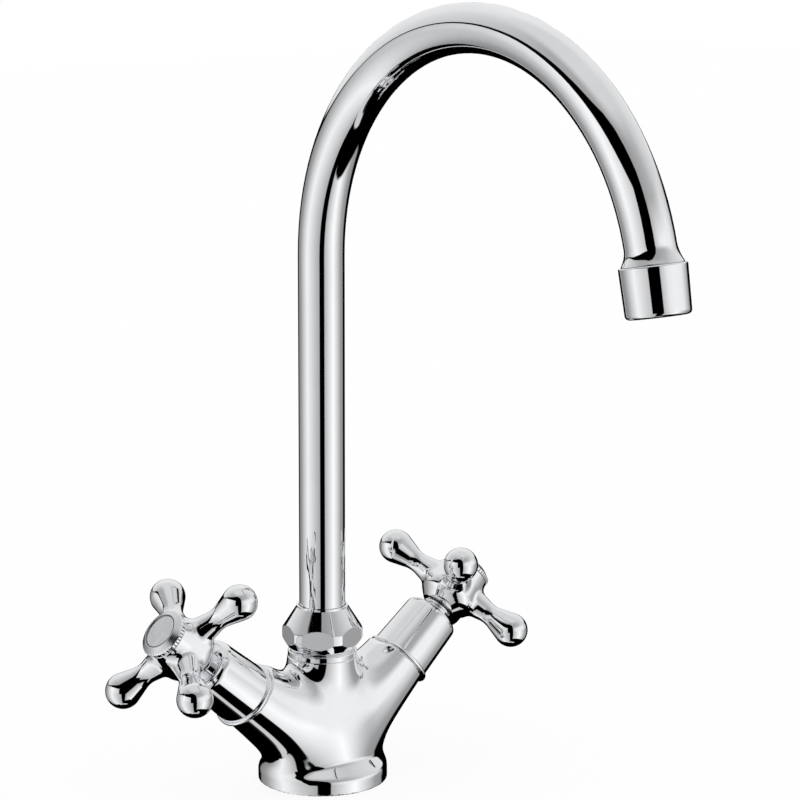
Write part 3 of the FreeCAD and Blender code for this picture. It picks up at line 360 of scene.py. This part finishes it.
def cap_metal():
    """Plated caps: a satin face with turning marks and an engraved line, and painted shade that darkens the
    grooves between the teeth.
    """
    material, nodes, shader, where = new_material("cap_chrome_plate")
    parts = nodes.add("ShaderNodeSeparateXYZ")
    nodes.join(where, parts.inputs[0])
    reach, across, height = (nodes.math("MULTIPLY", parts.outputs[axis], 1.0 / MM) for axis in range(3))
    reach = nodes.math("ABSOLUTE", reach)
    lift = nodes.math("SUBTRACT", height, ARM_Z)
    place = nodes.math("ADD", nodes.math("MULTIPLY", reach, ARM_COS), nodes.math("MULTIPLY", lift, ARM_SIN))
    rise = nodes.math("SUBTRACT", nodes.math("MULTIPLY", lift, ARM_COS),
                      nodes.math("MULTIPLY", reach, ARM_SIN))
    squares = nodes.math("ADD", nodes.math("POWER", rise, 2.0), nodes.math("POWER", across, 2.0))
    off = nodes.math("SQRT", squares)

    patches = nodes.noise(where, CAP_PATCH_SCALE, 3.0)
    satin = nodes.tint(nodes.span(patches, *TONE_SPAN), opaque(CAP_SATIN), opaque(CAP_SATIN_SHADE))
    colour = nodes.tint(nodes.span(off, CAP_FACE, CAP_FACE + CAP_FACE_EDGE), satin, opaque(CAP_POLISH))
    start, end = CAP_LINE
    line = nodes.math("MULTIPLY", nodes.span(off, start, start + CAP_LINE_EDGE),
                      nodes.span(off, end, end + CAP_LINE_EDGE, 1.0, 0.0))
    rim = nodes.math("MULTIPLY", nodes.span(place, CAP_RIM_TOP - CAP_TOOTH_EDGE, CAP_RIM_TOP, 1.0, 0.0),
                     nodes.span(off, CAP_FACE, CAP_FACE + CAP_TOOTH_EDGE))
    # Painted shade: the grooves between the teeth, below the teeth's tips, get a dark base colour
    groove = nodes.math("MULTIPLY", nodes.span(off, CAP_TOOTH_FOOT, CAP_TOOTH_TIP, 1.0, 0.0), rim)
    # dark holds the engraved line and the painted shade in the grooves
    dark = nodes.math("MAXIMUM", line, groove)
    nodes.feed(shader["Base Color"], nodes.tint(dark, colour, opaque(CAP_LINE_AND_PAINTED_GROOVE_SHADE)))

    base = nodes.span(off, CAP_FACE, CAP_FACE + CAP_FACE_EDGE, CAP_FACE_ROUGHNESS, CAP_RIM_ROUGHNESS)
    uneven = nodes.span(patches, *GRAIN_SPAN, 0.0, CAP_ROUGHNESS_SPREAD)
    nodes.feed(shader["Roughness"], nodes.math("ADD", base, uneven))
    shader["Metallic"].default_value = 1.0
    marks = nodes.math("SINE", nodes.math("MULTIPLY", off, CAP_MARK_PACE))
    nodes.feed(shader["Normal"], nodes.bump(marks, CAP_MARK_DEPTH))
    return material


def moulding(name, colour, shade, roughness):
    """A moulded or pressed piece: a drift of tone and a fine grain."""
    material, nodes, shader, where = new_material(name)
    grain = nodes.noise(where, GRAIN_SCALE, 3.0)
    drift = nodes.noise(where, DRIFT_SCALE, 2.0)
    tone = nodes.tint(nodes.span(drift, *TONE_SPAN), opaque(colour), opaque(shade))
    nodes.feed(shader["Base Color"], tone)
    least, most = roughness - MOULDING_SMOOTHER, roughness + MOULDING_ROUGHER
    nodes.feed(shader["Roughness"], nodes.span(grain, *GRAIN_SPAN, least, most))
    nodes.feed(shader["Normal"], nodes.bump(grain, GRAIN_DEPTH))
    return material


def make_materials():
    """One material for each slot of the record."""
    made = {slot: metal(*looks) for slot, looks in METALS.items()}
    made["cap_chrome"] = cap_metal()
    for slot, looks in MOULDINGS.items():
        made[slot] = moulding(slot + "_moulded", *looks)
    return made


def dress(made):
    """Gives each solid the material of its slot."""
    for part in frame["record"]["subparts"]:
        data = frame["nodes"][part["node"]].data
        data.materials.clear()
        data.materials.append(made[part["material_slot"]])


def smooth_min(one, two, reach):
    """The lesser of two distances, eased by a cubic where they differ by less than reach."""
    ease = np.maximum(reach - np.abs(one - two), 0.0) / reach
    return np.minimum(one, two) - ease ** 3 * reach / 6.0


def smooth_max(one, two, reach):
    return -smooth_min(-one, -two, reach)


def smooth_step(value, low, high):
    """Rises from nought at low to one at high, and is level at both ends."""
    share = np.clip((value - low) / (high - low), 0.0, 1.0)
    return share * share * (3.0 - 2.0 * share)


def arm_radius(reach):
    """An arm's radius at a distance from the middle, measured level."""
    return ARM_RADIUS + ARM_TAPER * (ARM_LENGTH - reach / ARM_COS)


def along_arm(x, z):
    """A point's place along the axis of the arm on its side."""
    return np.abs(x) * ARM_COS + (z - ARM_Z) * ARM_SIN


def casting_skin(x, y, z):
    """Distance in millimetres from the casting's outer skin, below nought inside it."""
    radius = np.hypot(x, y)
    # The two arms as one bent, swelling bar of oval section
    spread = np.sqrt(x * x + ARM_BEND ** 2)
    swell = np.exp(-(x / BELLY_SPREAD) ** 2)
    level = ARM_Z + spread * ARM_TAN - BELLY_DROP * swell
    arm, middle = arm_radius(spread), arm_radius(ARM_BEND)
    wide = arm + (BELLY_HALF_WIDTH - middle) * swell
    tall = arm / ARM_COS + (BELLY_HALF_HEIGHT - middle / ARM_COS) * swell
    up = z - level
    ratio = np.maximum(np.sqrt((y / wide) ** 2 + (up / tall) ** 2), LEAST_SHARE)
    rise = up / tall ** 2
    slope = np.sqrt((y / wide ** 2) ** 2 + rise ** 2 + (rise * ARM_TAN * x / spread) ** 2) / ratio
    arms = (ratio - 1.0) / np.maximum(slope, LEAST_SHARE)

    flare = math.hypot(FOOT_FLARE_HEIGHT, FOOT_FLARE_INSET)
    cone = ((radius - FOOT_RADIUS) * FOOT_FLARE_HEIGHT + (z - FOOT_BAND) * FOOT_FLARE_INSET) / flare
    foot = smooth_max(radius - FOOT_RADIUS, cone, FOOT_EASE)
    skin = smooth_min(arms, radius - NECK_RADIUS, NECK_EASE)
    skin = smooth_min(skin, foot, WAIST_EASE + ARM_FOOT_EASE * smooth_step(np.abs(x), *ARM_FOOT_SPAN))
    for end in (-z, z - NECK_TOP, along_arm(x, z) - ARM_LENGTH):
        skin = smooth_max(skin, end, EDGE_EASE)
    stub = np.maximum(radius - STUB_RADIUS, np.abs(z - STUB_TOP / 2) - STUB_TOP / 2)
    return np.minimum(skin, stub)


def casting_shape(x, y, z):
    """The casting with its waterways, valve bores, fixing hole and gasket groove."""
    radius = np.hypot(x, y)
    along = along_arm(x, z)
    off = np.hypot(y, (z - ARM_Z) * ARM_COS - np.abs(x) * ARM_SIN)
    inlet = np.hypot(np.abs(x) - INLET_PLACE, y)
    hollows = [
        np.maximum(radius - SOCKET_RADIUS, SOCKET_FLOOR - z),
        np.maximum(off - BORE_RADIUS, BORE_START - along),
        np.maximum(off - RECESS_RADIUS, RECESS_START - along),
        np.maximum(off - PASSAGE_RADIUS, PASSAGE_START - along),
        np.maximum(inlet - INLET_RADIUS, z - INLET_DEPTH),
        np.maximum(inlet - DRILL_RADIUS, z - DRILL_DEPTH),
        np.maximum(np.hypot(y, z - CROSSWAY_HEIGHT) - CROSSWAY_RADIUS, np.abs(x) - CROSSWAY_REACH),
        np.maximum(np.hypot(x, y - STUD_PLACE) - STUD_RADIUS, z - STUD_DEPTH),
        np.maximum(np.abs(radius - GROOVE_RADIUS) - GROOVE_HALF_WIDTH, z - GROOVE_DEPTH),
    ]
    shape = casting_skin(x, y, z)
    for hollow in hollows:
        shape = np.maximum(shape, -hollow)
    return shape


def slope_of(shape, points):
    """The gradient of a distance at each point."""
    slopes = []
    for axis in range(3):
        shift = np.zeros(3)
        shift[axis] = SLOPE_STEP
        slopes.append((shape(*(points + shift).T) - shape(*(points - shift).T)) / (2 * SLOPE_STEP))
    return np.stack(slopes, axis=1)


def surface_net(shape, low, high, step):
    """Points and quads on the surface where a distance is nought, inside a box."""
    axes = [np.arange(start, end + step, step) for start, end in zip(low, high)]
    grid = np.meshgrid(*axes, indexing="ij")
    field = shape(*grid)
    inside = field < 0.0
    cells = tuple(count - 1 for count in field.shape)

    def corner(values, shift):
        return values[tuple(slice(one, one + count) for one, count in zip(shift, cells))]

    # One point in each cell that the surface crosses, midway between its crossings of the cell's edges
    shifts = [(i, j, k) for i in (0, 1) for j in (0, 1) for k in (0, 1)]
    filled = sum(corner(inside, shift).astype(int) for shift in shifts)
    active = (filled > 0) & (filled < len(shifts))
    places = np.argwhere(active)
    total = np.zeros((len(places), 3))
    hits = np.zeros(len(places))
    for shift in shifts:
        for axis in range(3):
            if shift[axis]:
                continue
            other = tuple(1 if number == axis else one for number, one in enumerate(shift))
            first = corner(field, shift)[active]
            second = corner(field, other)[active]
            crossed = (first < 0) != (second < 0)
            share = np.where(crossed, first / np.where(crossed, first - second, 1.0), 0.0)
            point = np.tile(np.array(shift, float), (len(places), 1))
            point[:, axis] = share
            total += point * crossed[:, None]
            hits += crossed
    points = np.array(low) + (places + total / hits[:, None]) * step
    number = np.full(cells, -1)
    number[active] = np.arange(len(places))

    # One quad for each edge of the grid that crosses the surface, through the four cells round it
    quads = []
    for axis in range(3):
        near = [slice(1, -1)] * 3
        near[axis] = slice(0, -1)
        far = list(near)
        far[axis] = slice(1, None)
        here = inside[tuple(near)]
        change = here != inside[tuple(far)]
        spots = np.argwhere(change)
        spots[:, [one for one in range(3) if one != axis]] += 1
        leaving = here[change]
        one, two = (axis + 1) % 3, (axis + 2) % 3
        ring = []
        for back_one, back_two in ((1, 1), (0, 1), (0, 0), (1, 0)):
            cell = spots.copy()
            cell[:, one] -= back_one
            cell[:, two] -= back_two
            ring.append(number[tuple(cell.T)])
        ring = np.stack(ring, axis=1)
        ring[~leaving] = ring[~leaving][:, ::-1]
        quads.append(ring)
    return points, np.concatenate(quads)


def make_casting(material):
    """The body casting as one flowing skin, with its bores, in place of the filleted solid."""
    points, quads = surface_net(casting_shape, *CASTING_BOX, CASTING_STEP)
    for _ in range(SETTLE_ROUNDS):
        slope = slope_of(casting_shape, points)
        steepness = np.maximum((slope ** 2).sum(axis=1), LEAST_SLOPE)
        points -= slope * (casting_shape(*points.T) / steepness)[:, None]
    normals = slope_of(casting_shape, points)
    normals /= np.linalg.norm(normals, axis=1)[:, None]
    mesh = bpy.data.meshes.new("casting")
    mesh.from_pydata((points * MM).tolist(), [], quads.tolist())
    mesh.shade_smooth()
    mesh.normals_split_custom_set_from_vertices(normals.tolist())
    mesh.materials.append(material)
    casting = link(bpy.data.objects.new("casting", mesh))
    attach(casting, "base")
    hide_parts("tap_body")


def make_trumpet(material):
    """The tube's flared end, which follows the bend and then runs straight into the outlet housing."""
    sweep = math.radians(BEND_SWEEP)
    turns = [2 * math.pi * number / TRUMPET_SIDES for number in range(TRUMPET_SIDES)]
    across = Vector((1.0, 0.0, 0.0))

    def ring(place, radius):
        """A round of points at a distance along the tube from the end of its bend."""
        angle = sweep + min(place, 0.0) / BEND_RADIUS
        out = Vector((0.0, math.cos(angle), math.sin(angle)))
        ahead = Vector((0.0, -math.sin(angle), math.cos(angle)))
        middle = Vector((0.0, -BEND_RADIUS, BEND_HEIGHT)) + out * BEND_RADIUS + ahead * max(place, 0.0)
        spokes = [out * math.cos(turn) + across * math.sin(turn) for turn in turns]
        return [(middle + spoke * radius) * MM for spoke in spokes]

    shares = [number / TRUMPET_STEPS for number in range(TRUMPET_STEPS + 1)]
    stations = [((share - 1.0) * TRUMPET_LENGTH, TRUMPET_FOOT + TRUMPET_RISE * share ** TRUMPET_CURVE)
                for share in shares]
    mouth = stations[-1][1]
    stations += [(place, mouth + out) for place, out in TRUMPET_LIP]
    stations += [(TRUMPET_LIP[-1][0], THREAD_RADIUS), (THREAD_END, THREAD_RADIUS),
                 (THREAD_END, OUTLET_RADIUS), (0.0, OUTLET_RADIUS),
                 (0.0, SEAT_RADIUS), (-TRUMPET_LENGTH, SEAT_RADIUS)]
    points = [point for station in stations for point in ring(*station)]
    faces = []
    for row in range(len(stations)):
        start, after = row * TRUMPET_SIDES, (row + 1) % len(stations) * TRUMPET_SIDES
        for number in range(TRUMPET_SIDES):
            other = (number + 1) % TRUMPET_SIDES
            faces.append((start + number, start + other, after + other, after + number))
    mesh = bpy.data.meshes.new("trumpet")
    mesh.from_pydata(points, [], faces)
    mesh.shade_smooth()
    mesh.materials.append(material)
    trumpet = link(bpy.data.objects.new("trumpet", mesh))
    trumpet.modifiers.new("edges", "EDGE_SPLIT").split_angle = math.radians(TRUMPET_CREASE)
    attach(trumpet, "spout")
    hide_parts("outlet_adaptor")


def seen_share(nodes):
    """One for camera, glossy and transmission rays, and nought for the rays that light the object."""
    path = nodes.add("ShaderNodeLightPath")
    rays = [path.outputs[name] for name in ("Is Camera Ray", "Is Glossy Ray", "Is Transmission Ray")]
    return nodes.math("MAXIMUM", nodes.math("MAXIMUM", rays[0], rays[1]), rays[2])


def make_floor():
    """A pale floor that shows white and keeps a faint shadow of the object."""
    size = FLOOR_SIZE
    mesh = bpy.data.meshes.new("floor")
    mesh.from_pydata([(-size, -size, 0), (size, -size, 0), (size, size, 0), (-size, size, 0)], [],
                     [(0, 1, 2, 3)])
    floor = link(bpy.data.objects.new("floor", mesh))
    material = bpy.data.materials.new("pale_floor")
    material.use_nodes = True
    nodes = Nodes(material.node_tree)
    paint = nodes.add("ShaderNodeBsdfDiffuse")
    paint.inputs["Color"].default_value = FLOOR_COLOUR
    glow = nodes.add("ShaderNodeEmission")
    glow.inputs["Color"].default_value = WHITE
    mixed = nodes.add("ShaderNodeMixShader")
    nodes.feed(mixed.inputs[0], nodes.math("MULTIPLY", seen_share(nodes), FLOOR_GLOW))
    nodes.join(paint.outputs[0], mixed.inputs[1])
    nodes.join(glow.outputs[0], mixed.inputs[2])
    nodes.join(mixed.outputs[0], nodes.add("ShaderNodeOutputMaterial").inputs[0])
    floor.data.materials.append(material)
    floor.visible_glossy = False


def make_world():
    """White where it is seen, and a plain even light on the object."""
    world = bpy.data.worlds.new("studio")
    scene.world = world
    world.use_nodes = True
    nodes = Nodes(world.node_tree)
    sky = nodes.add("ShaderNodeBackground")
    sky.inputs["Color"].default_value = WHITE
    nodes.feed(sky.inputs["Strength"], nodes.blend(seen_share(nodes), SKY_LIGHT, 1.0))
    nodes.join(sky.outputs[0], nodes.add("ShaderNodeOutputWorld").inputs[0])


def make_tent():
    """Soft panels and dark flags round the object, which show only in reflections."""
    bpy.ops.mesh.primitive_uv_sphere_add(segments=TENT_SEGMENTS, ring_count=TENT_RINGS, radius=TENT_RADIUS)
    tent = bpy.context.object
    tent.name = "light_tent"
    tent.data.shade_smooth()
    material = bpy.data.materials.new("tent_panels")
    material.use_nodes = True
    nodes = Nodes(material.node_tree)
    unit = nodes.add("ShaderNodeVectorMath", operation="NORMALIZE")
    nodes.join(nodes.add("ShaderNodeTexCoord").outputs["Object"], unit.inputs[0])

    def along(direction):
        node = nodes.add("ShaderNodeVectorMath", operation="DOT_PRODUCT")
        nodes.join(unit.outputs[0], node.inputs[0])
        node.inputs[1].default_value = direction
        return node.outputs["Value"]

    yaw = math.radians(CAMERA_YAW)
    near = along((math.sin(yaw), -math.cos(yaw), 0.0))
    right = along((math.cos(yaw), math.sin(yaw), 0.0))
    turn = nodes.math("ADD", nodes.math("DIVIDE", nodes.math("ARCTAN2", right, near), 2 * math.pi), 0.5)
    rise = nodes.math("MULTIPLY", nodes.math("ARCSINE", along((0.0, 0.0, 1.0))), math.degrees(1.0))

    def around(stops, low=0.0, high=1.0):
        """A value from low to high that follows stops of (degrees from the camera's side, value)."""
        shares = [((angle + 180.0) / 360.0, (value - low) / (high - low)) for angle, value in stops]
        return nodes.span(nodes.ramp(turn, shares), 0.0, 1.0, low, high)

    def above(line, softness):
        """One above a line of heights and nought below it, eased over the softness to both sides."""
        height = nodes.math("SUBTRACT", rise, around(line, -90.0, 90.0))
        return nodes.span(height, nodes.math("MULTIPLY", softness, -1.0), softness)

    middle_share = nodes.span(rise, *MIDDLE_SPAN, smooth=True)
    low = nodes.blend(middle_share, around(SIDE_LEVELS), around(MIDDLE_LEVELS))
    low = nodes.math("MULTIPLY", low, above(FOOT_LINE, FOOT_SOFTNESS))
    ring = nodes.ramp(nodes.math("DIVIDE", rise, -90.0), RING_LEVELS)
    ring = nodes.math("MULTIPLY", ring, nodes.span(near, *RING_FRONT))
    low = nodes.math("MAXIMUM", low, ring)
    low = nodes.math("MULTIPLY", low, nodes.math("SUBTRACT", 1.0, above(HEAD_LINE, HEAD_SOFTNESS)))
    ceiling_share = nodes.span(rise, *CEILING_SPAN, smooth=True)
    top = nodes.blend(ceiling_share, around(TOP_LEVELS), CEILING_LEVEL)
    level = nodes.blend(above(ROOF_LINE, around(ROOF_SOFTNESS, 0.0, SOFTEST)), low, top)
    glow = nodes.add("ShaderNodeEmission")
    nodes.feed(glow.inputs["Strength"], nodes.math("MULTIPLY", level, TENT_LIGHT))
    nodes.join(glow.outputs[0], nodes.add("ShaderNodeOutputMaterial").inputs[0])
    tent.data.materials.append(material)
    tent.visible_camera = False
    tent.visible_diffuse = False
    tent.visible_transmission = False
    tent.visible_shadow = False


make_camera()
made = make_materials()
dress(made)
make_casting(made["chrome"])
make_trumpet(made["chrome"])
make_floor()
make_world()
make_tent()

bpy.context.view_layer.update()
